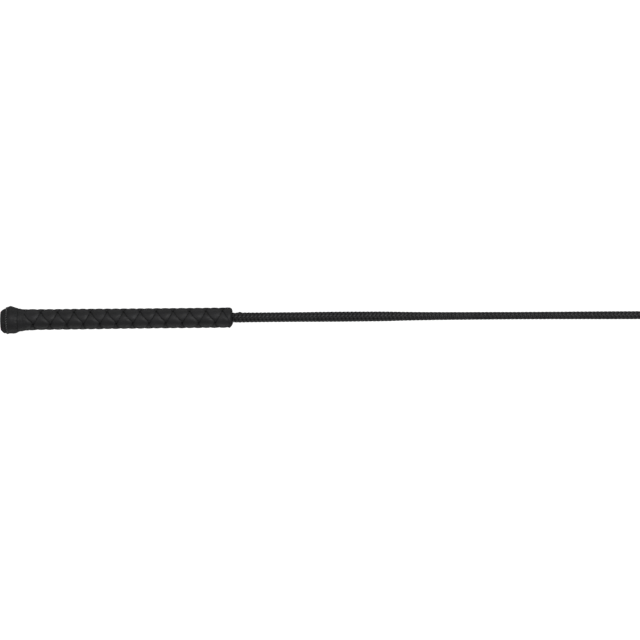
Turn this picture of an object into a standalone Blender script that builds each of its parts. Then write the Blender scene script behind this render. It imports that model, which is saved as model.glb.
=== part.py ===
"""Riding crop: a capped, plaited leather handle, a tapering braided shaft and a sprung leather keeper.

Lengths below are millimetres. The butt face is at the origin, +X runs along the shaft to the keeper and +Z is up.
"""

import math

import bmesh
import bpy

MM = 0.001
GAP = 0.3

# Overall
TOTAL_LENGTH = 700.0
BOW_LENGTH = 608.0
BOW_HEIGHT = 0.72
SIDES = 24
ROD_SIDES = 16

# Knob
DISC_EDGE = 5.2
CAP_LEATHER = 1.1
TACK_HOLE = 1.1

# Handle
NECK_END = 22.0
GRIP_START = 22.4
GRIP_END = 215.4
FORMER_RADIUS = 5.7
FORMER_BORE = 2.75
PADDING_INNER = 6.0
PADDING_OUTER = 7.3
COLLAR_START = 215.8
COLLAR_END = 220.5

# Handle plait: two thongs each way, over one and under one
THONG_PITCH = 15.63
THONG_SHIFT = 7.77
THONG_SHARE = 0.84
THONG_THICK = 0.8
THONG_UNDER_RADIUS = 7.85
THONG_OVER_RADIUS = 8.95
CROSSING_ANGLE = -39.0

# Shaft
BRAID_START = 216.2
BRAID_SHOULDER = 220.6
KNOT_X = 227.5
BRAID_WALL = 0.9
BELLY_END = 388.0
BRAID_END = 617.0
ROD_START = 12.0
ROD_END = 633.0

# Keeper
BINDING_START = 612.5
BINDING_END = 636.5
BINDING_INNER = 4.05
BINDING_OUTER = 4.6
HINGE_X = 640.8
KEEPER_HALF_THICK = 1.4
LEAF_THICK = 1.2
SEAM_CHANNEL_WIDTH = 1.0
SEAM_CHANNEL_DEPTH = 0.75
SEAM_THREAD = 0.4

CAP_OUTLINE = (
    (1.4, 10.2),
    (3.3, 11.4),
    (5.2, 12.1),
    (6.6, 12.5),
    (9.0, 12.9),
    (10.9, 12.6),
    (12.8, 12.3),
    (14.7, 11.8),
    (16.3, 11.1),
)
SHAFT_RADII = (
    (220.9, 4.5),
    (228.0, 4.5),
    (236.0, 4.38),
    (250.0, 4.33),
    (284.0, 4.33),
    (303.0, 4.45),
    (322.0, 4.5),
    (341.0, 4.42),
    (360.0, 4.35),
    (370.0, 4.22),
    (380.0, 3.95),
    (398.0, 3.66),
    (417.0, 3.49),
    (436.0, 3.37),
    (474.0, 3.25),
    (494.0, 3.2),
    (531.0, 3.26),
    (569.0, 3.42),
    (607.0, 3.47),
)
ROD_RADII = ((12.0, 2.4), (80.0, 2.4), (150.0, 2.35), (210.0, 2.2), (240.0, 2.0), (300.0, 2.0), (360.0, 2.0))
ROD_TIP_RADII = ((420.0, 1.95), (480.0, 1.95), (540.0, 1.9), (600.0, 1.9), (633.0, 1.9))
KEEPER_OUTLINE = ((640.8, 3.2), (644.0, 4.2), (650.0, 8.0), (656.0, 10.8), (664.0, 12.2), (674.0, 12.5), (696.0, 12.5))
SEAM_LINE = ((648.0, 4.6), (656.0, 8.8), (666.0, 10.4), (693.0, 10.4))


def clear_scene():
    for obj in list(bpy.data.objects):
        bpy.data.objects.remove(obj, do_unlink=True)


def between(table, x):
    """The value at x of a table of (x, value) rows, with straight lines between them."""
    if x <= table[0][0]:
        return table[0][1]
    for (x0, v0), (x1, v1) in zip(table, table[1:]):
        if x <= x1:
            return v0 + (v1 - v0) * (x - x0) / (x1 - x0)
    return table[-1][1]


def bow(x):
    """How far the centreline leans to +Y at x, zero at the butt face."""
    share = x / BOW_LENGTH
    return 4.0 * BOW_HEIGHT * share * (1.0 - share)


def make_material(name, colour, roughness, metallic=0.0):
    material = bpy.data.materials.new(name)
    material.use_nodes = True
    shader = material.node_tree.nodes["Principled BSDF"]
    shader.inputs["Base Color"].default_value = (*colour, 1.0)
    shader.inputs["Roughness"].default_value = roughness
    shader.inputs["Metallic"].default_value = metallic
    return material


def add_node(name, points, faces, material):
    """One named object from points in millimetres, bent to the bow and shaded."""
    mesh = bpy.data.meshes.new(name)
    bent = [(x * MM, (y + bow(x)) * MM, z * MM) for x, y, z in points]
    mesh.from_pydata(bent, [], faces)
    shape = bmesh.new()
    shape.from_mesh(mesh)
    bmesh.ops.recalc_face_normals(shape, faces=shape.faces)
    shape.to_mesh(mesh)
    shape.free()
    mesh.materials.append(material)
    mesh.shade_smooth()
    mesh.set_sharp_from_angle(angle=math.radians(40.0))
    obj = bpy.data.objects.new(name, mesh)
    bpy.context.collection.objects.link(obj)
    return obj


def turned(name, outline, material, sides=SIDES):
    """A body turned about the X axis. An outline that starts off the axis is a closed ring, so it has a bore."""
    points = []
    rings = []
    for x, radius in outline:
        if radius == 0.0:
            rings.append([len(points)] * sides)
            points.append((x, 0.0, 0.0))
            continue
        ring = []
        for side in range(sides):
            angle = 2.0 * math.pi * (side + 0.5) / sides
            ring.append(len(points))
            points.append((x, radius * math.sin(angle), radius * math.cos(angle)))
        rings.append(ring)
    if outline[0][1] > 0.0:
        rings.append(rings[0])
    faces = []
    for first, second in zip(rings, rings[1:]):
        for side in range(sides):
            after = (side + 1) % sides
            corners = [first[side], first[after], second[after], second[side]]
            faces.append([c for n, c in enumerate(corners) if c not in corners[:n]])
    return add_node(name, points, faces, material)


def sleeve(name, outer, inner, material, sides=SIDES):
    """A tube from an outer and an inner table of (x, radius) rows, both running from butt to tip."""
    return turned(name, tuple(outer) + tuple(reversed(inner)), material, sides)


def swept(name, sections, material):
    """A solid swept through closed sections with the same number of corners, and capped at both ends."""
    count = len(sections[0])
    points = [corner for section in sections for corner in section]
    faces = []
    for row in range(len(sections) - 1):
        for corner in range(count):
            after = (corner + 1) % count
            start = row * count
            faces.append([start + corner, start + after, start + count + after, start + count + corner])
    faces.append(list(range(count)))
    faces.append([len(points) - count + corner for corner in range(count)])
    return add_node(name, points, faces, material)


def make_core_rod(material):
    """A tapered rod with a hole in its butt end for the tack."""
    hole_end = ROD_START + 13.0
    side = tuple(reversed(ROD_RADII + ROD_TIP_RADII))
    outline = ((ROD_END, 0.0),) + side + ((ROD_START, TACK_HOLE), (hole_end, TACK_HOLE), (hole_end, 0.0))
    return turned("core_rod", outline, material, ROD_SIDES)


def make_cap_core(material):
    outline = (
        (1.4, 6.3),
        (2.6, 8.6),
        (4.0, 9.6),
        (6.0, 10.4),
        (9.0, 11.3),
        (12.8, 10.6),
        (15.6, 9.6),
        (16.9, 8.4),
        (16.9, FORMER_BORE),
        (11.7, FORMER_BORE),
        (11.7, TACK_HOLE),
        (2.4, TACK_HOLE),
        (2.4, 2.6),
        (1.4, 2.6),
    )
    return turned("cap_core", outline, material)


def make_cap_tack(material):
    outline = ((1.5, 0.0), (1.5, 2.2), (2.1, 2.2), (2.1, 0.8), (22.0, 0.8), (24.0, 0.0))
    return turned("cap_tack", outline, material, 12)


def make_cap_end_disc(material):
    rim = tuple(row for row in CAP_OUTLINE if row[0] <= DISC_EDGE)
    outline = ((0.0, 0.0), (0.0, 7.0), (0.5, 8.9)) + rim + (
        (DISC_EDGE, 10.9),
        (3.5, 10.2),
        (2.2, 9.1),
        (1.1, 6.9),
        (1.1, 0.0),
    )
    return turned("cap_end_disc", outline, material)


def make_cap_stitching(material):
    outline = ((5.5, 11.4), (5.5, 12.2), (5.9, 12.5), (6.3, 12.3), (6.3, 11.4))
    return turned("cap_stitching", outline, material)


def make_cap_cover(material):
    outer = [row for row in CAP_OUTLINE if row[0] > DISC_EDGE]
    inner = [(x, radius - CAP_LEATHER) for x, radius in outer]
    return sleeve("cap_cover", outer, inner, material)


def make_neck_band(material):
    outer = (
        (16.6, 10.9),
        (17.4, 10.85),
        (17.9, 10.35),
        (18.4, 10.6),
        (19.3, 10.5),
        (19.8, 10.05),
        (20.3, 10.25),
        (21.4, 10.1),
        (NECK_END, 9.85),
    )
    inner = ((17.2, 9.0), (NECK_END, 9.0))
    return sleeve("neck_band", outer, inner, material)


def make_handle_former(material):
    outer = ((17.3, 8.6), (NECK_END, 8.6), (NECK_END, FORMER_RADIUS), (120.0, FORMER_RADIUS), (GRIP_END, FORMER_RADIUS))
    inner = ((17.3, FORMER_BORE), (120.0, FORMER_BORE), (GRIP_END, FORMER_BORE))
    return sleeve("handle_former", outer, inner, material)


def make_grip_padding(material):
    stations = (GRIP_START, 70.0, 120.0, 170.0, GRIP_END)
    outer = [(x, PADDING_OUTER) for x in stations]
    inner = [(x, PADDING_INNER) for x in stations]
    return sleeve("grip_padding", outer, inner, material)


def thong_point(across, along, radius):
    """A point of the plait's lattice, where whole numbers of both are the crossings."""
    angle = math.radians(CROSSING_ANGLE + 90.0 * (along - across))
    x = THONG_SHIFT + THONG_PITCH * (across + along) / 2.0
    return (x, radius * math.sin(angle), radius * math.cos(angle))


def make_thong(name, lane, forward, material):
    """One thong of the handle's plait, over and under its neighbours in turn, cut square at both ends."""
    half = THONG_SHARE / 2.0
    offsets = (-half, -half / 3.0, half / 3.0, half)
    first = int(2.0 * (GRIP_START - THONG_SHIFT) / THONG_PITCH) - lane - 2
    last = int(2.0 * (GRIP_END - THONG_SHIFT) / THONG_PITCH) - lane + 2
    sections = []
    for crossing in range(first, last + 1):
        over = (crossing - lane) % 2 == (0 if forward else 1)
        inner = THONG_OVER_RADIUS if over else THONG_UNDER_RADIUS
        for step in offsets:
            section = []
            for radius, edge in ((inner, offsets), (inner + THONG_THICK, offsets[::-1])):
                for offset in edge:
                    pair = (lane + offset, crossing + step)
                    section.append(thong_point(*(pair if forward else pair[::-1]), radius))
            sections.append(section)
    obj = swept(name, sections, material)
    square_ends(obj)
    return obj


def split_quads(shape):
    """Splits each quad along the diagonal that runs most nearly along X, so that the bend stays fine."""
    for face in [f for f in shape.faces if len(f.verts) == 4]:
        a, b, c, d = face.verts
        pair = max(((a, c), (b, d)), key=lambda p: abs(p[0].co.x - p[1].co.x))
        bmesh.utils.face_split(face, pair[0], pair[1])


def square_ends(obj):
    """Cuts the thong off flat at the neck band and at the front collar."""
    shape = bmesh.new()
    shape.from_mesh(obj.data)
    split_quads(shape)
    for x, side in ((GRIP_START, -1.0), (GRIP_END, 1.0)):
        cut = bmesh.ops.bisect_plane(
            shape,
            geom=shape.verts[:] + shape.edges[:] + shape.faces[:],
            dist=1e-7,
            plane_co=(x * MM, 0.0, 0.0),
            plane_no=(side, 0.0, 0.0),
            clear_outer=True,
        )
        rim = [e for e in cut["geom_cut"] if isinstance(e, bmesh.types.BMEdge)]
        bmesh.ops.contextual_create(shape, geom=rim)
    bmesh.ops.recalc_face_normals(shape, faces=shape.faces)
    shape.to_mesh(obj.data)
    shape.free()
    obj.data.shade_smooth()
    obj.data.set_sharp_from_angle(angle=math.radians(40.0))


def make_front_collar(material):
    outer = ((COLLAR_START, 9.3), (218.6, 9.4), (219.7, 9.0), (COLLAR_END, 7.9))
    inner = ((COLLAR_START, 4.25), (COLLAR_END, 4.25))
    return sleeve("front_collar", outer, inner, material)


def make_shaft_belly(material):
    stations = [221.4, 236.0, 250.0, 284.0, 303.0, 322.0, 341.0, 360.0, 370.0, 380.0]
    outer = [(x, between(SHAFT_RADII, x) - BRAID_WALL - GAP) for x in stations]
    outer.append((BELLY_END, 2.62))
    inner = ((221.4, 2.6), (240.0, 2.33), (284.0, 2.33), (341.0, 2.33), (BELLY_END, 2.3))
    return sleeve("shaft_belly", outer, inner, material)


def make_shaft_braid(material):
    outer = ((BRAID_START, 3.7), (BRAID_SHOULDER, 3.7)) + SHAFT_RADII + ((612.0, 3.4), (BRAID_END, 3.1))
    inner = [(BRAID_START, 2.75), (BRAID_SHOULDER, 2.75)]
    inner += [(x, radius - BRAID_WALL) for x, radius in SHAFT_RADII if x <= 381.0]
    inner += [(BELLY_END, 2.95), (390.5, 2.3), (450.0, 2.3), (531.0, 2.25), (BRAID_END, 2.25)]
    return sleeve("shaft_braid", outer, inner, material)


def make_braid_knot(material):
    """The lump of a tucked strand end, on the +Y side of the shaft."""
    sections = []
    for reach, width, top in ((-1.5, 0.5, 5.15), (-0.7, 1.1, 5.4), (0.7, 1.1, 5.4), (1.5, 0.5, 5.15)):
        x = KNOT_X + reach
        sections.append([(x, 4.82, -width), (x, top, -width * 0.6), (x, top, width * 0.6), (x, 4.82, width)])
    return swept("braid_knot", sections, material)


def make_tip_binding(material):
    outer = ((BINDING_START, BINDING_OUTER - 0.1), (613.5, BINDING_OUTER), (635.5, BINDING_OUTER), (BINDING_END, 4.5))
    inner = ((BINDING_START, BINDING_INNER), (BINDING_END, BINDING_INNER))
    return sleeve("tip_binding", outer, inner, material)


def make_keeper_root(name, side, material):
    """One of the keeper's tails, from the braid's end out to the bend. Side is 1 above the rod and -1 below it."""
    rows = ((617.6, 1.8, 2.25), (626.0, 1.8, 2.25), (633.4, 1.8, 2.25), (636.8, 2.2, 1.2), (638.9, 3.0, 0.35))
    sections = []
    for x, half, inner in rows:
        outer = inner + 0.95
        sections.append(
            [(x, -half, side * inner), (x, half, side * inner), (x, half, side * outer), (x, -half, side * outer)]
        )
    return swept(name, sections, material)


def keeper_path():
    """Middle of the folded strip as (x, z, normal x, normal z), from the bend round the fold and back."""
    middle = KEEPER_HALF_THICK - LEAF_THICK / 2.0
    fold_x = TOTAL_LENGTH - KEEPER_HALF_THICK
    rows = [(x, middle, 0.0, 1.0) for x, _ in KEEPER_OUTLINE]
    for step in range(7):
        angle = math.radians(90.0 - 30.0 * step)
        across, up = math.cos(angle), math.sin(angle)
        rows.append((fold_x + middle * across, middle * up, across, up))
    rows += [(x, -middle, 0.0, -1.0) for x, _ in reversed(KEEPER_OUTLINE)]
    return rows


def make_keeper_tongue(material):
    """A leather strip folded in two, with rounded ends that turn about the bend's axis."""
    half = LEAF_THICK / 2.0
    neck = KEEPER_OUTLINE[0][1]
    sections = []
    for x, z, across, up in keeper_path():
        width = between(KEEPER_OUTLINE, x)
        inner = (x - across * half, z - up * half)
        outer = (x + across * half, z + up * half)
        sections.append(
            [
                (inner[0], -width, inner[1]),
                (inner[0], width, inner[1]),
                (outer[0], width, outer[1]),
                (outer[0], -width, outer[1]),
            ]
        )
    for side, at_end in ((1.0, False), (-1.0, True)):
        for share in (0.45, 0.8):
            low = (KEEPER_HALF_THICK - LEAF_THICK) * side
            reach = KEEPER_HALF_THICK * share
            x = HINGE_X - reach
            high = math.sqrt(KEEPER_HALF_THICK**2 - reach**2) * side
            section = [(x, -neck, low), (x, neck, low), (x, neck, high), (x, -neck, high)]
            sections.insert(len(sections) if at_end else 0, section)
    return swept("keeper_tongue", sections, material)


def seam_sections(width, low, high, start):
    """A U-shaped strip along the seam line of the keeper, its corners mitred and its ends at x = start."""
    side_line = ((start, between(SEAM_LINE, start)),) + SEAM_LINE[1:]
    line = [(x, y) for x, y in side_line] + [(x, -y) for x, y in reversed(side_line)]
    sections = []
    for row, (x, y) in enumerate(line):
        before = line[max(row - 1, 0)]
        after = line[min(row + 1, len(line) - 1)]
        first = math.atan2(y - before[1], x - before[0]) if row > 0 else None
        second = math.atan2(after[1] - y, after[0] - x) if row < len(line) - 1 else None
        first = second if first is None else first
        second = first if second is None else second
        turn = (first + second) / 2.0
        reach = width / 2.0 / math.cos((second - first) / 2.0)
        side = (-math.sin(turn) * reach, math.cos(turn) * reach)
        sections.append(
            [
                (x + side[0], y + side[1], low),
                (x - side[0], y - side[1], low),
                (x - side[0], y - side[1], high),
                (x + side[0], y + side[1], high),
            ]
        )
    return sections


def cut_seam_channel(tongue, side, material):
    """Presses the seam's channel into one face of the keeper."""
    low = side * (KEEPER_HALF_THICK - SEAM_CHANNEL_DEPTH)
    cutter = swept("seam_cutter", seam_sections(SEAM_CHANNEL_WIDTH, low, side * 3.0, SEAM_LINE[0][0]), material)
    cutter.hide_render = True
    cutter.display_type = "WIRE"
    cut = tongue.modifiers.new("channel", "BOOLEAN")
    cut.operation = "DIFFERENCE"
    cut.solver = "EXACT"
    cut.object = cutter
    return cutter


def make_keeper_seam(name, side, material):
    low = side * (KEEPER_HALF_THICK - SEAM_CHANNEL_DEPTH + GAP)
    start = SEAM_LINE[0][0] + 2.0 * GAP
    return swept(name, seam_sections(SEAM_THREAD, low, low + side * SEAM_THREAD, start), material)


def hang_on_hinge(pieces):
    """Parents the keeper's pieces to an empty on the axis that the leather bends about."""
    hinge = bpy.data.objects.new("keeper_hinge", None)
    hinge.location = (HINGE_X * MM, bow(HINGE_X) * MM, 0.0)
    bpy.context.collection.objects.link(hinge)
    bpy.context.view_layer.update()
    for piece in pieces:
        piece.parent = hinge
        piece.matrix_parent_inverse = hinge.matrix_world.inverted()


def build():
    clear_scene()
    leather = make_material("leather", (0.022, 0.022, 0.024), 0.48)
    plait = make_material("plait", (0.018, 0.018, 0.02), 0.42)
    thread = make_material("thread", (0.012, 0.012, 0.013), 0.6)
    fibreglass = make_material("fibreglass", (0.55, 0.52, 0.4), 0.35)
    wood = make_material("wood", (0.5, 0.33, 0.18), 0.65)
    felt = make_material("felt", (0.3, 0.29, 0.27), 0.95)
    steel = make_material("steel", (0.6, 0.6, 0.62), 0.3, 1.0)

    make_core_rod(fibreglass)
    make_cap_core(wood)
    make_cap_tack(steel)
    make_cap_end_disc(leather)
    make_cap_stitching(thread)
    make_cap_cover(leather)
    make_neck_band(leather)
    make_handle_former(wood)
    make_grip_padding(felt)
    for lane in (0, 1):
        make_thong(f"grip_thong_a{lane + 1}", lane, True, leather)
        make_thong(f"grip_thong_b{lane + 1}", lane, False, leather)
    make_front_collar(leather)
    make_shaft_belly(felt)
    make_shaft_braid(plait)
    make_braid_knot(plait)
    make_tip_binding(thread)
    make_keeper_root("keeper_root_upper", 1.0, leather)
    make_keeper_root("keeper_root_lower", -1.0, leather)
    tongue = make_keeper_tongue(leather)
    moving = [tongue]
    for side, name in ((1.0, "keeper_seam_top"), (-1.0, "keeper_seam_bottom")):
        moving.append(cut_seam_channel(tongue, side, leather))
        moving.append(make_keeper_seam(name, side, thread))
    hang_on_hinge(moving)


build()
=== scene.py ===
"""The finished look of the riding crop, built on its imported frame.

Lengths are millimetres, apart from the studio's and the materials', which are metres. The crop lies along X
with the flat end of its knob at zero. Angles about it are measured from +Z, which faces the camera, towards
+Y, which is up in the view: the crop's upper side is the one towards +Y.
"""

import math

import bpy
import numpy as np
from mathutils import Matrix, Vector, noise


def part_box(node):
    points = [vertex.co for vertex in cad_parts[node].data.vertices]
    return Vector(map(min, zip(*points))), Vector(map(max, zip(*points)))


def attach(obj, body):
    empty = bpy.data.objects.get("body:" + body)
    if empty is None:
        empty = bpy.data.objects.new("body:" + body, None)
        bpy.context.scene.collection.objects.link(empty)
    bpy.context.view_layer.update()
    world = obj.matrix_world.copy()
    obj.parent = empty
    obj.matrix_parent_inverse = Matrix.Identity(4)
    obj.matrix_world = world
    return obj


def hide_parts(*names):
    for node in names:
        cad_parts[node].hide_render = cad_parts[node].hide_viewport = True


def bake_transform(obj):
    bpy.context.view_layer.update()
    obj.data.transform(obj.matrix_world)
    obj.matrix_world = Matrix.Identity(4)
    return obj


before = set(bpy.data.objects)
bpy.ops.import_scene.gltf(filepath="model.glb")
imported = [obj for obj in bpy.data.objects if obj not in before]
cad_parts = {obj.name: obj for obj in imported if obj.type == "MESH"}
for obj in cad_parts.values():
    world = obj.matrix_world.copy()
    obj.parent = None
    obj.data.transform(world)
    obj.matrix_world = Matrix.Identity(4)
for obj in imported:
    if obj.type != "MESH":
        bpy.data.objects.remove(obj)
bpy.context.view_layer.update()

MM = 0.001
TURN = 2.0 * math.pi

# The view: straight down on the crop, turned by a few tenths of a degree, with the tip outside it
VIEW_WIDTH = 608.0
VIEW_CENTRE = (303.6, -2.27)
VIEW_TURN = 0.44
LENS = 200.0
SENSOR = 36.0
VIEW_REACH = 50.0

# The studio, in metres: a key light from the upper right and three weaker ones, as place, size and watts
FLOOR_SIZE = 12.0
FLOOR_LEVEL = -0.09
WALL_RADIUS = 11.76
WALL_SIDES = 24
WALL_HEIGHTS = (-1.0, 9.0)
PAPER_GLOW = 1.0
SKY_LIGHT = 0.2
LIT_POINT = (0.25, 0.0, 0.0)
SOFTBOXES = (
    ("key", (1.15, 0.5, 2.1), (1.6, 1.3), 26.0),
    ("fill", (0.2, -2.1, -0.5), (1.8, 0.8), 7.0),
    ("left", (-1.7, 0.2, 1.5), (1.4, 1.2), 8.0),
    ("back", (0.3, 2.2, -0.3), (2.4, 0.6), 5.0),
)

# The same lean of the centreline as in the solids
BOW_LENGTH = 608.0
BOW_HEIGHT = 0.72

# The handle's outside, as (x, radius)
GRIP_RADII = ((20.0, 10.2), (30.0, 9.9), (45.0, 9.72), (70.0, 9.75), (100.0, 9.62), (130.0, 9.5))

# The shaft's braid keeps one thickness up to here, inside the collar
BRAID_SHOULDER = 224.0

# The two plaits. "pitch" is the length of one crossing along the crop, "shift" and "angle" place the pattern,
# and "drift" turns its start by that many degrees. A strand goes over "over" crossings, then under as many:
# "lift", "snap" and "dive" shape its wave, and "crown", "edge", "pillow" and "thick" its section. "uneven" is
# how far the pattern is dragged on the lower side, in degrees and in millimetres, and "bunch" draws the first
# turns together. Outside "rim" the strand's edge is painted with shade, darker and less glossy. "rise" is how
# far the highest places stand above the radius that the plait is laid on.
HANDLE_PLAIT = {
    "each_way": 2,
    "pitch": 15.63,
    "shift": 7.77,
    "angle": -45.0,
    "drift": 0.0,
    "over": 1.0,
    "rows": 18,
    "bunch": 2.6,
    "top_points": 17,
    "under_points": 5,
    "width": 0.96,
    "squeeze": 0.03,
    "snap": 3.0,
    "dive": 0.2,
    "lift": 0.42,
    "crown": 0.5,
    "edge": 3.0,
    "pillow": 0.08,
    "rise": 0.3,
    "thick": 0.95,
    "rim": 0.8,
    "uneven": (15.0, 1.1),
}
SHAFT_PLAIT = {
    "each_way": 6,
    "pitch": 3.76,
    "shift": 0.6,
    "angle": 15.0,
    "drift": -15.0,
    "over": 2.0,
    "rows": 4,
    "bunch": 0.0,
    "top_points": 7,
    "under_points": 2,
    "width": 0.84,
    "squeeze": 0.03,
    "snap": 2.4,
    "dive": 0.3,
    "lift": 0.15,
    "crown": 0.24,
    "edge": 2.0,
    "pillow": 0.04,
    "rise": 0.42,
    "thick": 0.55,
    "rim": 0.5,
    "uneven": (0.0, 0.0),
}

# For both plaits: where the drift fades out, the middle of the dragged side in degrees, how closely the drag
# keeps to it, how far the bunching reaches, and the spare crossings at each end, which are pressed into it
DRIFT_SPAN = (220.0, 540.0)
DRAGGED_SIDE = -42.0
DRAG_SHARPNESS = 5.0
BUNCH_LENGTH = 9.0
SPARE_CROSSINGS = 1.2

# The knob's outside at each x, on its upper and its lower side
KNOB_X = (0.0, 1.0, 2.5, 4.5, 7.0, 9.8, 12.5, 15.0, 17.0, 19.0, 22.0, 26.0, 29.0)
KNOB_UPPER = (7.6, 8.9, 9.9, 11.1, 12.2, 13.55, 12.6, 11.65, 11.05, 10.6, 10.1, 9.8, 9.7)
KNOB_LOWER = (8.9, 10.4, 12.0, 12.85, 13.1, 13.0, 13.1, 12.75, 11.6, 11.15, 10.65, 10.3, 10.0)

# The places of the knob's welt and of its side seam, the number of stitches and how far past the welt they
# run, and how far the neck's band laps over the thongs on its lower side
WELT = 5.5
SIDE_SEAM = 16.7
STITCHES = 34
STITCH_LINE = 1.0
NECK_LAP = 4.5

# The collar's nose on its upper and lower side, as (x from the collar's end, height from its greatest radius)
COLLAR_UPPER = ((-3.0, 0.33), (-1.8, 0.12), (-0.8, -0.6), (-0.2, -1.8), (0.2, -3.4), (0.0, -5.05))
COLLAR_LOWER = ((-3.4, 0.3), (-2.2, 0.0), (-1.1, -1.2), (-0.2, -2.6), (0.5, -3.9), (0.3, -5.05))
COLLAR_NOSE_ROWS = 24

# One turn of the thread round the tip
WHIPPING_PITCH = 0.82

# The keeper's leather, its neck's half width and its seam
LEAF = 1.2
KEEPER_NECK = 3.1
SEAM_INSET = 1.9
SEAM_STITCH = 3.1
SEAM_CORNER = 1.6


def frame_box(node):
    """A node's lowest and highest corners, in millimetres."""
    low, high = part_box(node)
    return Vector(low) / MM, Vector(high) / MM


def bow(x):
    """How far the centreline stands off the X axis, towards +Y."""
    share = np.asarray(x, float) / BOW_LENGTH
    return 4.0 * BOW_HEIGHT * share * (1.0 - share)


def node_radii(name):
    """The outer profile of a turned CAD node as two arrays, x and radius."""
    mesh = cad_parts[name].data
    rings = {}
    for vertex in mesh.vertices:
        point = vertex.co / MM
        arm = Vector((0.0, point.y - float(bow(point.x)), point.z))
        if vertex.normal.dot(arm) > 0.3 * arm.length:
            rings.setdefault(round(point.x, 1), []).append(arm.length)
    places = sorted(rings)
    return np.array(places), np.array([max(rings[x]) for x in places])


def rounded(x, places, values, reach):
    """Straight lines between the given points, with their corners rounded over this reach."""
    shifts = np.linspace(-reach, reach, 7)
    return sum(np.interp(np.asarray(x, float) + shift, places, values) for shift in shifts) / len(shifts)


def smooth_step(low, high, value):
    """From 0 at the low value to 1 at the high one, with soft ends."""
    t = np.clip((np.asarray(value, float) - low) / (high - low), 0.0, 1.0)
    return t * t * (3.0 - 2.0 * t)


def wobble(x, y, z, size):
    """Smooth noise between about -1 and 1, with features of this size."""
    flat = np.broadcast_arrays(np.asarray(x, float), np.asarray(y, float), np.asarray(z, float))
    values = [noise.noise(Vector((a, b, c)) / size) for a, b, c in zip(*(f.ravel() for f in flat))]
    return np.array(values).reshape(flat[0].shape)


# ---------------------------------------------------------------- materials


class Nodes:
    """Short calls for building one material's node tree."""

    def __init__(self, name):
        self.material = bpy.data.materials.new(name)
        self.material.use_nodes = True
        self.tree = self.material.node_tree
        self.shader = self.tree.nodes["Principled BSDF"]
        self.place = self.add("ShaderNodeTexCoord").outputs["Object"]

    def add(self, kind, **settings):
        node = self.tree.nodes.new(kind)
        for key, value in settings.items():
            setattr(node, key, value)
        return node

    def link(self, source, target):
        self.tree.links.new(source, target)

    def noise(self, scale, detail=3.0, roughness=0.55):
        node = self.add("ShaderNodeTexNoise")
        self.link(self.place, node.inputs["Vector"])
        node.inputs["Scale"].default_value = scale
        node.inputs["Detail"].default_value = detail
        node.inputs["Roughness"].default_value = roughness
        return node.outputs["Fac"]

    def cells(self, scale):
        node = self.add("ShaderNodeTexVoronoi", feature="F1")
        self.link(self.place, node.inputs["Vector"])
        node.inputs["Scale"].default_value = scale
        return node.outputs["Distance"]

    def range(self, value, low, high, start=0.0, end=1.0):
        """The value, moved from start .. end to low .. high."""
        node = self.add("ShaderNodeMapRange")
        self.link(value, node.inputs["Value"])
        node.inputs["From Min"].default_value = start
        node.inputs["From Max"].default_value = end
        node.inputs["To Min"].default_value = low
        node.inputs["To Max"].default_value = high
        return node.outputs["Result"]

    def mix(self, factor, first, second):
        """From the first colour to the second as the factor goes from 0 to 1. The second may be an output."""
        node = self.add("ShaderNodeMix", data_type="RGBA")
        self.link(factor, node.inputs["Factor"])
        node.inputs["A"].default_value = (*first, 1.0)
        if isinstance(second, tuple):
            node.inputs["B"].default_value = (*second, 1.0)
        else:
            self.link(second, node.inputs["B"])
        return node.outputs["Result"]

    def bump(self, height, strength, distance, before=None):
        node = self.add("ShaderNodeBump")
        self.link(height, node.inputs["Height"])
        node.inputs["Strength"].default_value = strength
        node.inputs["Distance"].default_value = distance
        if before is not None:
            self.link(before, node.inputs["Normal"])
        return node.outputs["Normal"]

    def finish(self, colour, roughness, normal=None, specular=0.5, metallic=0.0):
        """Plugs the inputs in. The specular level may be a number or a node's output."""
        self.link(colour, self.shader.inputs["Base Color"])
        self.link(roughness, self.shader.inputs["Roughness"])
        if normal is not None:
            self.link(normal, self.shader.inputs["Normal"])
        if isinstance(specular, float):
            self.shader.inputs["Specular IOR Level"].default_value = specular
        else:
            self.link(specular, self.shader.inputs["Specular IOR Level"])
        self.shader.inputs["Metallic"].default_value = metallic
        return self.material


def leather(name, dark, light, polish, grain=1400.0, depth=0.00008, specular=0.4, worn_and_shaded=False):
    """Dyed leather: a fine pebbled grain, patchy dye and a polish that varies between two roughnesses.

    Leather given wear and painted shade is polished where it stands up, and darker and less glossy where its
    mesh's value for them is low: painted shade at strand edges, under crossings and in hollows.
    """
    make = Nodes(name)
    colour = make.mix(make.range(make.noise(90.0, 4.0), 0.0, 1.0, 0.3, 0.7), dark, light)
    if worn_and_shaded:
        # Wear and painted shade: where the mesh's value is low, the colour falls towards 0.6 of the dark tone
        # and the specular level towards 0.55 of its own.
        wear_and_shade = make.add("ShaderNodeAttribute", attribute_name="wear_and_shade").outputs["Fac"]
        colour = make.mix(wear_and_shade, tuple(0.6 * value for value in dark), colour)
        specular = make.range(wear_and_shade, 0.55 * specular, specular)
    roughness = make.range(make.noise(420.0, 2.0), *polish, 0.3, 0.7)
    pebbles = make.bump(make.cells(grain), 0.6, depth)
    creases = make.bump(make.noise(520.0, 5.0, 0.6), 0.6, depth * 2.0, pebbles)
    return make.finish(colour, roughness, creases, specular)


def knob_leather():
    return leather("knob_leather", (0.011, 0.011, 0.012), (0.018, 0.018, 0.0195), (0.5, 0.68))


# The welt's lighter leather is partly a painted highlight for the light its rolled edge catches.
def welt_leather():
    return leather("welt_leather_painted_highlight", (0.016, 0.016, 0.017), (0.045, 0.045, 0.047), (0.45, 0.6))


def grip_leather():
    dark, light = (0.01, 0.01, 0.011), (0.018, 0.018, 0.0195)
    return leather("grip_leather", dark, light, (0.48, 0.63), specular=0.45, worn_and_shaded=True)


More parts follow.
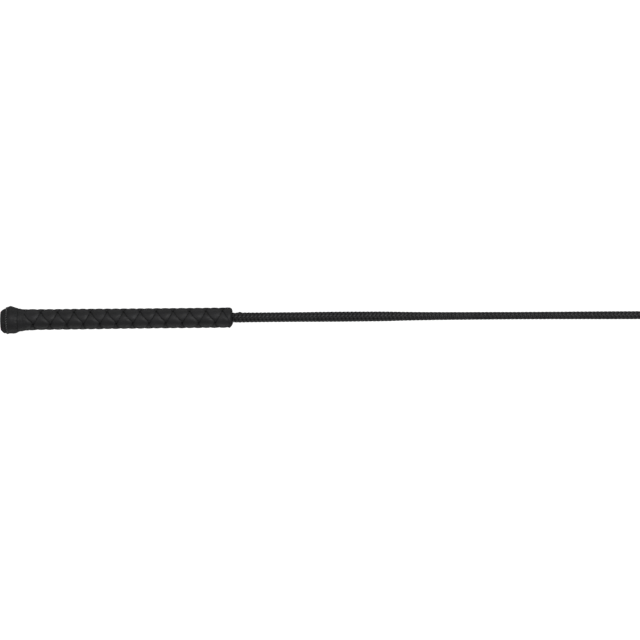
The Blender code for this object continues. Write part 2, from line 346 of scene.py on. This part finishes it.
def braid_leather():
    dark, light = (0.015, 0.015, 0.016), (0.031, 0.031, 0.033)
    return leather("braid_leather", dark, light, (0.32, 0.46), 2600.0, 0.00004, 0.36, worn_and_shaded=True)


def keeper_leather():
    return leather("keeper_leather", (0.018, 0.018, 0.019), (0.034, 0.034, 0.036), (0.48, 0.66))


def thread(name, dark, light):
    """Waxed thread: fine fibres along it and a soft sheen."""
    make = Nodes(name)
    colour = make.mix(make.noise(700.0, 2.0), dark, light)
    fibres = make.bump(make.noise(5200.0, 4.0, 0.7), 0.5, 0.00006)
    make.shader.inputs["Sheen Weight"].default_value = 0.15
    return make.finish(colour, make.range(make.noise(900.0), 0.45, 0.7), fibres, 0.35)


def black_thread():
    return thread("black_thread", (0.01, 0.01, 0.011), (0.024, 0.024, 0.026))


# Pale thread for the knob's stitches: its light colour is partly a painted highlight standing in for the
# glints of waxed thread.
def pale_thread_painted_glint():
    return thread("pale_thread_painted_glint", (0.08, 0.08, 0.082), (0.22, 0.22, 0.225))


def felt_material():
    make = Nodes("felt")
    colour = make.mix(make.noise(300.0, 5.0), (0.02, 0.02, 0.02), (0.045, 0.044, 0.042))
    fibres = make.bump(make.noise(2600.0, 6.0, 0.75), 0.8, 0.0002)
    return make.finish(colour, make.range(make.noise(500.0), 0.85, 1.0), fibres, 0.2)


def wood_material():
    make = Nodes("turned_wood")
    rings = make.add("ShaderNodeTexWave", wave_type="BANDS", bands_direction="Y")
    make.link(make.place, rings.inputs["Vector"])
    rings.inputs["Scale"].default_value = 160.0
    rings.inputs["Distortion"].default_value = 5.0
    colour = make.mix(rings.outputs["Fac"], (0.3, 0.17, 0.08), (0.52, 0.34, 0.18))
    grain = make.bump(make.noise(900.0, 5.0), 0.3, 0.0001)
    return make.finish(colour, make.range(make.noise(200.0), 0.5, 0.7), grain)


def fibreglass_material():
    make = Nodes("fibreglass")
    colour = make.mix(make.noise(260.0, 4.0), (0.4, 0.38, 0.26), (0.62, 0.6, 0.48))
    strands = make.bump(make.noise(1500.0, 3.0), 0.2, 0.00005)
    return make.finish(colour, make.range(make.noise(300.0), 0.25, 0.45), strands)


def steel_material():
    make = Nodes("plain_steel")
    colour = make.mix(make.noise(600.0, 3.0), (0.45, 0.45, 0.46), (0.66, 0.66, 0.68))
    marks = make.bump(make.noise(3000.0, 2.0), 0.2, 0.00003)
    return make.finish(colour, make.range(make.noise(700.0), 0.25, 0.45), marks, metallic=1.0)


# ---------------------------------------------------------------- mesh helpers


def finish_piece(name, points, faces, material, slot, replaced=(), body="crop", wear_and_shade=None):
    """An object from points about a straight axis, bent to the bow. A piece given no body is attached to
    none.
    """
    points = np.array(points, float)
    points[:, 1] += bow(points[:, 0])
    mesh = bpy.data.meshes.new(name)
    mesh.from_pydata((points * MM).tolist(), [], faces)
    mesh.materials.append(material)
    if wear_and_shade is not None:
        mesh.attributes.new("wear_and_shade", "FLOAT", "POINT").data.foreach_set("value", np.ravel(wear_and_shade))
    mesh.shade_smooth()
    mesh.set_sharp_from_angle(angle=math.radians(50.0))
    obj = bpy.data.objects.new(name, mesh)
    bpy.context.collection.objects.link(obj)
    if body:
        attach(obj, body)
    if replaced:
        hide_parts(*replaced)
    return obj


def loft(sections, closed_ends=True):
    """Points and faces of a skin through closed sections with equal numbers of corners."""
    rows, corners = len(sections), len(sections[0])
    points = np.concatenate(sections)
    faces = []
    for row in range(rows - 1):
        for corner in range(corners):
            after = (corner + 1) % corners
            start = row * corners
            faces.append((start + corner, start + corners + corner, start + corners + after, start + after))
    if closed_ends:
        faces.append(tuple(range(corners)))
        faces.append(tuple(range(rows * corners - 1, (rows - 1) * corners - 1, -1)))
    return points, faces


def ring_angles(sides):
    return np.linspace(0.0, TURN, sides, endpoint=False)


def around(x, radius, angle):
    """Points about the X axis."""
    x, radius, angle = np.broadcast_arrays(x, radius, angle)
    return np.stack([x, radius * np.sin(angle), radius * np.cos(angle)], axis=-1)


def turned(path, shape, sides):
    """Rings about X along a path of (x, radius), each given its form by shape(x, radius, angle, row)."""
    angle = ring_angles(sides)
    sections = []
    for row, (x, radius) in enumerate(path):
        ring_x, ring_radius = shape(np.full(sides, x), np.full(sides, radius), angle, row)
        sections.append(around(ring_x, ring_radius, angle))
    return sections


def turned_loop(path, shape, sides):
    """The skin of a hollow piece: its rings run along the outside, back along the inside and meet."""
    sections = turned(path, shape, sides)
    return loft(sections + sections[:1], closed_ends=False)


def join_parts(parts):
    """One point list and one face list from several (points, faces)."""
    points, faces, count = [], [], 0
    for part_points, part_faces in parts:
        points.append(part_points)
        faces += [tuple(i + count for i in face) for face in part_faces]
        count += len(part_points)
    return np.concatenate(points), faces


def cord_part(route, radius, twist):
    """A thread of two twisted plies along a list of points, with rounded ends."""
    route = np.array(route, float)
    along = np.gradient(route, axis=0)
    along /= np.linalg.norm(along, axis=1)[:, None]
    length = np.concatenate([[0.0], np.cumsum(np.linalg.norm(np.diff(route, axis=0), axis=1))])
    guide = np.array([0.0, 0.0, 1.0]) if abs(along[0][2]) < 0.9 else np.array([0.0, 1.0, 0.0])
    sections = []
    for row, (point, direction) in enumerate(zip(route, along)):
        side = np.cross(direction, guide)
        side /= np.linalg.norm(side)
        guide = np.cross(side, direction)
        angle = ring_angles(8)
        end = min(row, len(route) - 1 - row)
        size = radius * (0.45, 0.85, 1.0)[min(end, 2)]
        plies = size * (1.0 + 0.16 * np.cos(2.0 * (angle + twist * length[row])))
        ring = np.outer(np.cos(angle) * plies, side) + np.outer(np.sin(angle) * plies, guide)
        sections.append(point + ring)
    return loft(sections)


# ---------------------------------------------------------------- plaited work


def plait_point(kind, across, along):
    """The x and the angle of a place in a plait's lattice, with its drift and its uneven lower side."""
    x = kind["shift"] + kind["pitch"] * (across + along) / 2.0
    drift = kind["drift"] * (1.0 - smooth_step(*DRIFT_SPAN, x))
    angle = np.radians(kind["angle"] + drift) + math.pi / kind["each_way"] * (along - across)
    uneven = np.exp(DRAG_SHARPNESS * (np.cos(angle - math.radians(DRAGGED_SIDE)) - 1.0))
    return x + kind["uneven"][1] * uneven, angle + math.radians(kind["uneven"][0]) * uneven


def plait_strand(kind, lane, forward, x_start, x_end, radius_at):
    """One flat strand of a plait, over and under its neighbours in turn, as its sections and their wear and
    painted shade.

    A plait's lattice has the strands of one hand at whole numbers of `across` and those of the other at whole
    numbers of `along`. This strand keeps to its own lane and runs through the crossings of the other hand.
    """
    first = 2.0 * (x_start - kind["shift"]) / kind["pitch"] - lane
    last = 2.0 * (x_end - kind["shift"]) / kind["pitch"] - lane
    top = 0.5 * np.sin(np.linspace(-math.pi / 2.0, math.pi / 2.0, kind["top_points"]))
    under = np.linspace(0.5, -0.5, kind["under_points"] + 2)[1:-1]
    crown = kind["crown"] * (1.0 - np.abs(2.0 * top) ** kind["edge"]) ** 0.6
    margin = np.abs(np.concatenate([2.0 * top, np.ones(len(under))]))
    # Painted shade at the strand's edges: 1 across its middle, falling to 0 outside the rim.
    unshaded_middle = 1.0 - smooth_step(kind["rim"], 0.99, margin)
    sections, wear_and_shade = [], []
    for place in np.arange(first - SPARE_CROSSINGS, last + SPARE_CROSSINGS, 1.0 / kind["rows"]):
        crossing = (place - lane) if forward else (lane - place)
        wave = math.sin(math.pi * (crossing + 0.5) / kind["over"]) * (1.0 if forward else -1.0)
        level = math.tanh(kind["snap"] * (wave - kind["dive"]))
        width = kind["width"] + kind["squeeze"] * level
        across_strand = np.concatenate([top, under]) * width + lane
        pair = (across_strand, place) if forward else (place, across_strand)
        x, angle = plait_point(kind, *pair)
        middle = kind["lift"] * level
        pillow = kind["pillow"] * max(level, 0.0) * (1.0 - (2.0 * top) ** 2)
        height = np.concatenate([middle + crown + pillow, np.full(len(under), middle - kind["thick"])])
        drawn = kind["bunch"] * np.exp(-np.maximum(x - x_start, 0.0) / BUNCH_LENGTH)
        x = np.clip(x - drawn, x_start, x_end)
        sections.append(around(x, radius_at(x) + height, angle))
        # Painted shade: the value is low at the strand's edges and lower where it dives under its neighbours,
        # so these are drawn darker and less glossy.
        wear_and_shade.append(unshaded_middle * (0.7 + 0.3 * smooth_step(-0.9, 0.7, level)))
    return np.array(sections), np.array(wear_and_shade)


def seat(kind):
    """The height of a plait's middle layer over its radius, with its highest places standing at its rise."""
    return kind["rise"] - (kind["lift"] + kind["crown"] + kind["pillow"])


def roughen(sections, amount, size, seed):
    """Moves each point in or out a little, so that no two stretches of leather are alike."""
    radius = np.hypot(sections[..., 1], sections[..., 2])
    push = amount * wobble(sections[..., 0], sections[..., 1] + seed, sections[..., 2], size)
    scale = (radius + push) / np.maximum(radius, 1e-6)
    sections[..., 1] *= scale
    sections[..., 2] *= scale
    return sections


def make_handle_thongs(material):
    """Two flat thongs each way, wound over one and under one from the neck to the collar."""
    low, high = frame_box("grip_thong_a1")

    def radius_at(x):
        tuck = 1.0 - smooth_step(low.x - 0.6, low.x + 4.0, x)
        return rounded(x, *zip(*GRIP_RADII), 6.0) + seat(HANDLE_PLAIT) - 0.3 * tuck

    for lane in (0, 1):
        for forward, letter in ((True, "a"), (False, "b")):
            name = f"{letter}{lane + 1}"
            sections, wear_and_shade = plait_strand(HANDLE_PLAIT, lane, forward, low.x - 1.2, high.x + 2.2, radius_at)
            sections = roughen(sections, 0.1, 5.0, lane * 31.0 + (7.0 if forward else 0.0))
            replaced = (f"grip_thong_{name}",)
            finish_piece(f"thong_{name}", *loft(sections), material, "leather", replaced, wear_and_shade=wear_and_shade)


def make_shaft_strands(material):
    """Six strands each way, over two and under two, from inside the collar to under the binding."""
    places, radii = node_radii("shaft_braid")
    start = frame_box("front_collar")[1].x - 1.5
    end = frame_box("tip_binding")[0].x + 2.0

    def radius_at(x):
        return rounded(np.maximum(x, BRAID_SHOULDER), places, radii, 4.0) + seat(SHAFT_PLAIT)

    for lane in range(SHAFT_PLAIT["each_way"]):
        for forward in (True, False):
            sections, wear_and_shade = plait_strand(SHAFT_PLAIT, lane, forward, start, end, radius_at)
            sections = roughen(sections, 0.06, 2.4, lane * 11.0 + (5.0 if forward else 0.0))
            name = f"strand_{'a' if forward else 'b'}{lane + 1}"
            replaced = ("shaft_braid",) if forward and lane == 0 else ()
            finish_piece(name, *loft(sections), material, "plait", replaced, wear_and_shade=wear_and_shade)


# ---------------------------------------------------------------- knob and neck


def knob_radius(x, angle):
    """The knob's outside. It comes to a blunt corner on its upper side and is rounder on its lower side."""
    upper = rounded(x, KNOB_X, KNOB_UPPER, 0.6)
    lower = rounded(x, KNOB_X, KNOB_LOWER, 0.6)
    share = 0.5 + 0.5 * np.sin(angle)
    return lower + (upper - lower) * share


def sewn_shift(x, angle):
    """How far the sewn line wanders along the knob, fading out away from it."""
    lean = 0.2 - 0.35 * np.cos(2.0 * angle) - 0.25 * np.sin(angle)
    return lean * np.exp(-(((x - WELT) / 3.0) ** 2))


def needle_pull(angle):
    """How far the leather is drawn down along the sewn line, most at the needle holes."""
    return 1.0 + 0.5 * np.cos(angle * STITCHES)


def make_end_disc(material):
    """The leather over the knob's end, puckered towards the welt it is sewn to."""

    def shape(x, radius, angle, row):
        if row < flat_rows:
            dish = 0.25 * wobble(radius * np.sin(angle), radius * np.cos(angle), 3.0, 4.0)
            return x + dish * smooth_step(0.0, 3.0, radius), radius
        pucker = smooth_step(0.8, 3.6, x) * np.cos(angle * 17.0 + 1.8 * np.sin(angle * 4.0))
        soft = 0.34 * wobble(x, 9.0 * np.sin(angle), 9.0 * np.cos(angle), 2.2)
        sunk = -0.75 * needle_pull(angle) * np.exp(-(((x - WELT + 0.95) / 0.45) ** 2))
        moved = x + sewn_shift(x, angle)
        return moved, knob_radius(moved, angle) + radius + 0.17 * pucker + soft + sunk

    path = [(0.3, 0.35), (0.24, 1.6), (0.18, 3.0), (0.12, 4.6), (0.1, 5.8), (0.12, 6.9)]
    flat_rows = len(path)
    path += [(x, -0.05) for x in np.linspace(0.35, WELT - 0.3, 24)]
    path += [(WELT, -1.0), (WELT, -1.9), (3.0, -1.9)]
    finish_piece("knob_end_disc", *loft(turned(path, shape, 240)), material, "leather", ("cap_end_disc",))


def make_welt(material):
    """The rolled strip between the end and the side of the knob, pinched at each stitch."""
    rows = 14

    def shape(x, radius, angle, row):
        turn = TURN * row / rows
        soft = 0.1 * wobble(9.0 * np.sin(angle), 9.0 * np.cos(angle), 0.0, 2.0)
        size = 0.46 + 0.08 * np.cos(angle * STITCHES) + soft
        middle = x + sewn_shift(x, angle)
        return middle + size * math.cos(turn), knob_radius(middle, angle) - 0.05 + size * math.sin(turn)

    finish_piece("knob_welt", *turned_loop([(WELT, 0.0)] * rows, shape, 272), material, "leather")


def make_knob_stitches(material):
    """Short slanted stitches round the line where the side is sewn to the welt."""
    reach = math.pi / STITCHES * 0.56
    parts = []
    for number in range(STITCHES):
        middle = (number + 0.5) * TURN / STITCHES
        route = []
        for share in np.linspace(-1.0, 1.0, 9):
            angle = middle + share * reach
            x = WELT + STITCH_LINE + 0.3 * share
            x += float(sewn_shift(x, angle))
            sink = 0.45 * abs(share) ** 4
            radius = float(knob_radius(x, angle)) + 0.1 - sink
            route.append(around(x, radius, angle))
        parts.append(cord_part(route, 0.34, 5.0))
    finish_piece("knob_stitches", *join_parts(parts), material, "thread", ("cap_stitching",))


def make_knob_side(material):
    """The side leather, drawn in towards the neck with shallow pleats."""

    def shape(x, radius, angle, row):
        gather = smooth_step(12.5, SIDE_SEAM, x)
        pleats = 0.12 * gather * np.cos(angle * 22.0 + 1.4 * np.sin(angle * 3.0))
        soft = 0.2 * wobble(x, 9.0 * np.sin(angle), 9.0 * np.cos(angle), 5.0)
        sunk = -0.7 * needle_pull(angle) * np.exp(-(((x - WELT - STITCH_LINE) / 0.5) ** 2))
        moved = x + sewn_shift(x, angle)
        return moved, knob_radius(moved, angle) + radius + pleats + soft + sunk

    rows = np.linspace(WELT, SIDE_SEAM, 44)
    path = [(WELT, -1.2)] + [(x, -0.02) for x in rows]
    path += [(SIDE_SEAM + 0.25, -0.5), (SIDE_SEAM + 0.2, -1.2), (12.0, -1.3), (7.0, -1.3)]
    finish_piece("knob_side", *turned_loop(path, shape, 220), material, "leather", ("cap_cover",))


def make_neck_band(material):
    """A soft band gathered round the neck. It laps over the first thongs on the lower side."""
    end = frame_box("neck_band")[1].x + 0.7

    def shape(x, radius, angle, row):
        lap = NECK_LAP * (0.5 - 0.5 * np.sin(angle)) ** 2 * smooth_step(SIDE_SEAM + 1.0, end, x)
        moved = x + lap
        rolls = 0.13 * np.cos((x - SIDE_SEAM) * TURN / 2.6 + 0.8 * np.sin(angle + 0.6))
        folds = 0.07 * np.cos(angle * 13.0 + 2.2 * np.sin(angle * 2.0))
        soft = 0.18 * wobble(x, 8.0 * np.sin(angle), 8.0 * np.cos(angle), 4.5)
        outside = np.where(radius > -0.7, rolls + folds + soft - 0.1, 0.0)
        return moved, knob_radius(moved, angle) + radius + outside

    rows = np.linspace(SIDE_SEAM + 0.35, end - 0.4, 26)
    path = [(SIDE_SEAM - 0.6, -1.3), (SIDE_SEAM - 0.3, -0.85)]
    path += [(SIDE_SEAM + 0.1, -0.4)] + [(x, 0.0) for x in rows]
    path += [(end, -0.25), (end + 1.0, -0.45), (end + 3.0, -0.65), (end + 3.3, -1.1), (end, -1.5)]
    finish_piece("neck_leather", *turned_loop(path, shape, 200), material, "leather", ("neck_band",))


def collar_nose(step, share):
    """The x from the collar's end and the height of one of its nose's rows; share is 1 on the upper side."""
    place = step * (len(COLLAR_UPPER) - 1) / (COLLAR_NOSE_ROWS - 1.0)
    spots = np.arange(len(COLLAR_UPPER))
    above = [rounded(place, spots, values, 0.7) for values in zip(*COLLAR_UPPER)]
    below = [rounded(place, spots, values, 0.7) for values in zip(*COLLAR_LOWER)]
    return [low + (high - low) * share for low, high in zip(below, above)]


def make_front_collar(material):
    """The last turn of the wrap, tucked in round the shaft. Its nose is blunt above and slanted below."""
    low, high = frame_box("front_collar")
    radius = node_radii("front_collar")[1].max()
    end = high.x

    def shape(x, height, angle, row):
        share = 0.5 + 0.5 * np.sin(angle)
        if 0 <= row - first_nose < COLLAR_NOSE_ROWS:
            x, height = collar_nose(row - first_nose, share)
            x = x + end
        else:
            back = low.x - 0.6 - 3.4 * np.sin(angle - 0.1)
            front = end - 3.0 - 0.4 * (1.0 - share)
            x = back + (front - back) * x
        soft = 0.2 * wobble(x, 8.0 * np.sin(angle), 8.0 * np.cos(angle), 3.5)
        gather = smooth_step(0.3, 2.2, -height) * smooth_step(end - 3.0, end - 0.6, x)
        tucks = 0.2 * gather * np.cos(angle * 14.0 + 1.6 * np.sin(angle * 3.0))
        return x, radius + height + np.where(height > -4.0, soft + tucks, 0.0)

    # Outside the nose, a row's x is its share of the way from the collar's slanting back edge to the nose
    path = [(0.0, -1.7), (0.0, -0.45), (0.05, -0.1), (0.18, 0.1), (0.4, 0.25), (0.6, 0.36), (0.8, 0.34)]
    first_nose = len(path)
    path += [(0.0, 0.0)] * COLLAR_NOSE_ROWS + [(0.8, -5.1), (0.5, -5.1), (0.5, -1.7)]
    points, faces = turned_loop(path, shape, 180)
    # Painted shade: the collar's leather is drawn darker and less glossy the deeper it lies below the
    # collar's greatest radius, down its tucked nose.
    depth = radius - np.hypot(points[:, 1], points[:, 2])
    wear_and_shade = 1.0 - smooth_step(0.2, 3.0, depth)
    finish_piece("handle_front", points, faces, material, "leather", ("front_collar",), wear_and_shade=wear_and_shade)


def make_braid_knot(material):
    """The small lump of a tucked strand end on the upper side of the shaft."""
    low, high = frame_box("braid_knot")
    middle = (low.x + high.x) / 2.0
    base = low.y - float(bow(middle))
    top = high.y - float(bow(middle))
    angle = ring_angles(20)
    sections = []
    for share in np.linspace(-1.0, 1.0, 13):
        size = max(1.0 - share * share, 0.02) ** 0.5
        x = middle + 1.55 * share + 0.3 * np.sin(angle)
        y = base - 0.4 + (top - base + 0.4) * size * (0.45 + 0.55 * np.cos(angle))
        z = 1.25 * size * np.sin(angle) + 0.25 * share
        sections.append(np.stack([x, y, z], axis=-1))
    points, faces = loft(sections)
    wear_and_shade = np.full(len(points), 0.8)
    finish_piece("strand_end_knot", points, faces, material, "plait", ("braid_knot",), wear_and_shade=wear_and_shade)


# ---------------------------------------------------------------- tip


def make_tip_whipping(material):
    """Waxed thread wound side by side over the keeper's root, closed on the braid by a lip inside."""
    low, high = frame_box("tip_binding")
    radius = (high.z - low.z) / 2.0
    rows = np.arange(low.x, high.x, WHIPPING_PITCH / 9.0)

    def shape(x, ring_radius, angle, row):
        phase = (x / WHIPPING_PITCH - angle / TURN) % 1.0
        cord = np.sqrt(np.maximum(1.0 - (2.0 * phase - 1.0) ** 2, 0.0))
        ends = smooth_step(low.x - 0.1, low.x + 1.2, x) * (1.0 - smooth_step(high.x - 1.2, high.x + 0.1, x))
        height = 0.3 * cord - 0.45 * (1.0 - ends) + 0.05 * wobble(x, angle * 3.0, 0.0, 1.5)
        return x, ring_radius + np.where(ring_radius > radius - 0.7, height, 0.0)

    inner = radius - 0.85
    lip = radius - 1.8
    path = [(low.x, lip)] + [(x, radius - 0.3) for x in rows]
    path += [(high.x, inner), (low.x + 0.8, inner), (low.x + 0.8, lip)]
    finish_piece("tip_whipping", *turned_loop(path, shape, 96), material, "thread", ("tip_binding",))


def keeper_width(x):
    """Half the keeper's width, from its neck out to its square end."""
    low, high = frame_box("keeper_tongue")
    full = (high.y - low.y) / 2.0
    root = frame_box("tip_binding")[1].x
    tail = 1.2 * (1.0 - smooth_step(root - 6.0, root + 2.0, x))
    flare = (full - KEEPER_NECK) * smooth_step(root + 3.5, root + 34.0, x) ** 0.8
    return KEEPER_NECK - tail + flare


def keeper_layers():
    """The folded strip's middle line, from tail to tail round the fold: (x, z, normal x, normal z)."""
    low, high = frame_box("keeper_tongue")
    half = (high.z - low.z) / 2.0
    middle = half - LEAF / 2.0
    root = frame_box("keeper_root_upper")[0].x
    rod_end = frame_box("core_rod")[1].x
    fold = high.x - half
    places = np.concatenate([np.linspace(root, rod_end, 7), np.arange(rod_end + 0.8, fold, 1.0)])
    tail = frame_box("keeper_root_upper")[1].z - LEAF / 2.0
    lift = middle + (tail - middle) * (1.0 - smooth_step(rod_end - 0.5, rod_end + 7.5, places))
    rows = [(x, z, 0.0, 1.0) for x, z in zip(places, lift)]
    for step in range(1, 12):
        angle = math.radians(90.0 - 15.0 * step)
        normal = (math.cos(angle), math.sin(angle))
        rows.append((fold + middle * normal[0], middle * normal[1], *normal))
    rows += [(x, -z, 0.0, -1.0) for x, z in zip(places[::-1], lift[::-1])]
    return rows


def seam_line():
    """The sewn line of the keeper, as points (x, y) at one stitch apart down one side, across and back."""
    low, high = frame_box("keeper_tongue")
    start, end = low.x + 11.0, high.x - SEAM_INSET - 3.2
    side = [(x, float(keeper_width(x)) - SEAM_INSET) for x in np.linspace(start, end, 60)]
    corner = [
        (end + SEAM_CORNER * math.sin(turn), side[-1][1] - SEAM_CORNER + SEAM_CORNER * math.cos(turn))
        for turn in np.radians((30.0, 60.0, 90.0))
    ]
    half = np.array(side + corner)
    line = np.concatenate([half, half[::-1] * (1.0, -1.0)])
    length = np.concatenate([[0.0], np.cumsum(np.linalg.norm(np.diff(line, axis=0), axis=1))])
    count = int(length[-1] / SEAM_STITCH)
    even = np.linspace(0.0, length[-1], count + 1)
    return np.stack([np.interp(even, length, line[:, 0]), np.interp(even, length, line[:, 1])], axis=-1)


def keeper_section(row, seam):
    """One row across the keeper's strip, pressed in along the seam and most of all at its needle holes."""
    x, z, normal_x, normal_z = row
    across = np.sin(np.linspace(-math.pi / 2.0, math.pi / 2.0, 41))
    width = float(keeper_width(x))
    y = across * width
    near = np.min(np.hypot(seam[:, 0][:, None] - x, seam[:, 1][:, None] - y[None, :]), axis=0)
    seam_gap = np.abs(np.abs(y) - (width - SEAM_INSET))
    sewn = np.exp(-((seam_gap / 0.7) ** 2)) * (x > seam[:, 0].min() - 1.0)
    holes = np.exp(-((near / 0.55) ** 2))
    soft = 0.1 * wobble(np.full(len(y), x), y, z * 5.0, 9.0)
    outer = LEAF / 2.0 - 0.15 * sewn - 0.2 * holes + soft
    round_edge = np.sqrt(np.clip(1.0 - across**8, 0.0, 1.0))
    outer = -LEAF / 2.0 + (outer + LEAF / 2.0) * (0.55 + 0.45 * round_edge)
    reach = np.concatenate([outer, np.full(len(y), -LEAF / 2.0)])
    return np.stack([x + normal_x * reach, np.concatenate([y, y[::-1]]), z + normal_z * reach], axis=-1)


def make_keeper(material):
    """One strip of leather, folded at the far end and sewn flat."""
    seam = seam_line()
    sections = [keeper_section(row, seam) for row in keeper_layers()]
    replaced = ("keeper_tongue", "keeper_root_upper", "keeper_root_lower")
    obj = finish_piece("keeper_leather", *loft(sections), material, "leather", replaced, body=None)
    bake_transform(obj)


def make_keeper_stitches(material):
    """Saddle stitches along the keeper's seam, on both faces."""
    low, high = frame_box("keeper_tongue")
    face = (high.z - low.z) / 2.0
    seam = seam_line()
    for side, name in ((1.0, "top"), (-1.0, "bottom")):
        parts = []
        for first, second in zip(seam, seam[1:]):
            route = []
            for share in np.linspace(0.06, 0.94, 9):
                x, y = first + (second - first) * share
                sink = 0.5 * abs(2.0 * share - 1.0) ** 5
                route.append((x, y, side * (face - 0.08 - sink)))
            parts.append(cord_part(route, 0.27, 4.0))
        replaced = (f"keeper_seam_{name}",)
        finish_piece(f"keeper_stitches_{name}", *join_parts(parts), material, "thread", replaced, "keeper")


# ---------------------------------------------------------------- stage


def make_camera():
    """A long lens that looks straight down on the crop."""
    distance = VIEW_WIDTH * LENS / SENSOR
    data = bpy.data.cameras.new("camera")
    data.lens = LENS
    data.sensor_width = SENSOR
    data.clip_end = VIEW_REACH
    camera = bpy.data.objects.new("camera", data)
    camera.location = (VIEW_CENTRE[0] * MM, VIEW_CENTRE[1] * MM, distance * MM)
    camera.rotation_euler = (0.0, 0.0, math.radians(-VIEW_TURN))
    bpy.context.collection.objects.link(camera)
    bpy.context.scene.camera = camera


def make_floor():
    """A pale floor, low enough for the keeper to bend all the way down above it."""
    signs = ((-1, -1), (1, -1), (1, 1), (-1, 1))
    corners = [(x * FLOOR_SIZE, y * FLOOR_SIZE, FLOOR_LEVEL) for x, y in signs]
    add_stage_piece("floor", corners, [(0, 1, 2, 3)])


def make_backdrop():
    """A pale shell all round, far enough away to be a plain background."""
    angle = ring_angles(WALL_SIDES)
    x, y = WALL_RADIUS * np.cos(angle), WALL_RADIUS * np.sin(angle)
    points, faces = loft([np.stack([x, y, np.full(WALL_SIDES, z)], axis=-1) for z in WALL_HEIGHTS])
    add_stage_piece("backdrop", points.tolist(), faces)


def add_stage_piece(name, points, faces):
    """Studio paper: the camera sees it bright, and it throws no light back on the crop."""
    mesh = bpy.data.meshes.new(name)
    mesh.from_pydata(points, [], faces)
    make = Nodes(f"pale_{name}")
    colour = make.mix(make.noise(1.5, 2.0), (0.16, 0.16, 0.16), (0.18, 0.18, 0.18))
    make.finish(colour, make.range(make.noise(3.0), 0.9, 1.0), specular=0.0)
    make.shader.inputs["Emission Color"].default_value = (1.0, 1.0, 1.0, 1.0)
    make.shader.inputs["Emission Strength"].default_value = PAPER_GLOW
    mesh.materials.append(make.material)
    piece = bpy.data.objects.new(name, mesh)
    piece.visible_diffuse = False
    piece.visible_glossy = False
    piece.visible_shadow = False
    bpy.context.collection.objects.link(piece)


def add_softbox(name, location, size, power):
    """A rectangular light turned to the lit point, which the camera doesn't see."""
    data = bpy.data.lights.new(name, "AREA")
    data.shape = "RECTANGLE"
    data.size, data.size_y = size
    data.energy = power
    light = bpy.data.objects.new(name, data)
    light.location = location
    light.rotation_mode = "QUATERNION"
    light.rotation_quaternion = (Vector(LIT_POINT) - Vector(location)).to_track_quat("-Z", "Y")
    light.visible_camera = False
    bpy.context.collection.objects.link(light)


def make_light():
    """Soft light from the four boxes and a little from all round."""
    world = bpy.data.worlds.new("studio")
    world.use_nodes = True
    background = world.node_tree.nodes["Background"]
    background.inputs["Color"].default_value = (1.0, 1.0, 1.0, 1.0)
    background.inputs["Strength"].default_value = SKY_LIGHT
    bpy.context.scene.world = world
    for name, location, size, power in SOFTBOXES:
        add_softbox(name, location, size, power)
    bpy.context.scene.view_settings.view_transform = "Standard"


# ---------------------------------------------------------------- the crop


def dress_hidden_nodes():
    """The pieces inside keep their solids and get their own finishes."""
    finishes = {
        "core_rod": fibreglass_material(),
        "cap_core": wood_material(),
        "handle_former": wood_material(),
        "cap_tack": steel_material(),
        "grip_padding": felt_material(),
        "shaft_belly": felt_material(),
    }
    for node, material in finishes.items():
        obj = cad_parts[node]
        obj.data.materials.clear()
        obj.data.materials.append(material)


def build_stage():
    make_camera()
    make_floor()
    make_backdrop()
    make_light()


def build_crop():
    plain = knob_leather()
    grip = grip_leather()
    braid = braid_leather()
    black = black_thread()
    dress_hidden_nodes()
    make_end_disc(plain)
    make_welt(welt_leather())
    make_knob_stitches(pale_thread_painted_glint())
    make_knob_side(plain)
    make_neck_band(plain)
    make_handle_thongs(grip)
    make_front_collar(grip)
    make_shaft_strands(braid)
    make_braid_knot(braid)
    make_tip_whipping(black)
    make_keeper(keeper_leather())
    make_keeper_stitches(black)


build_stage()
build_crop()
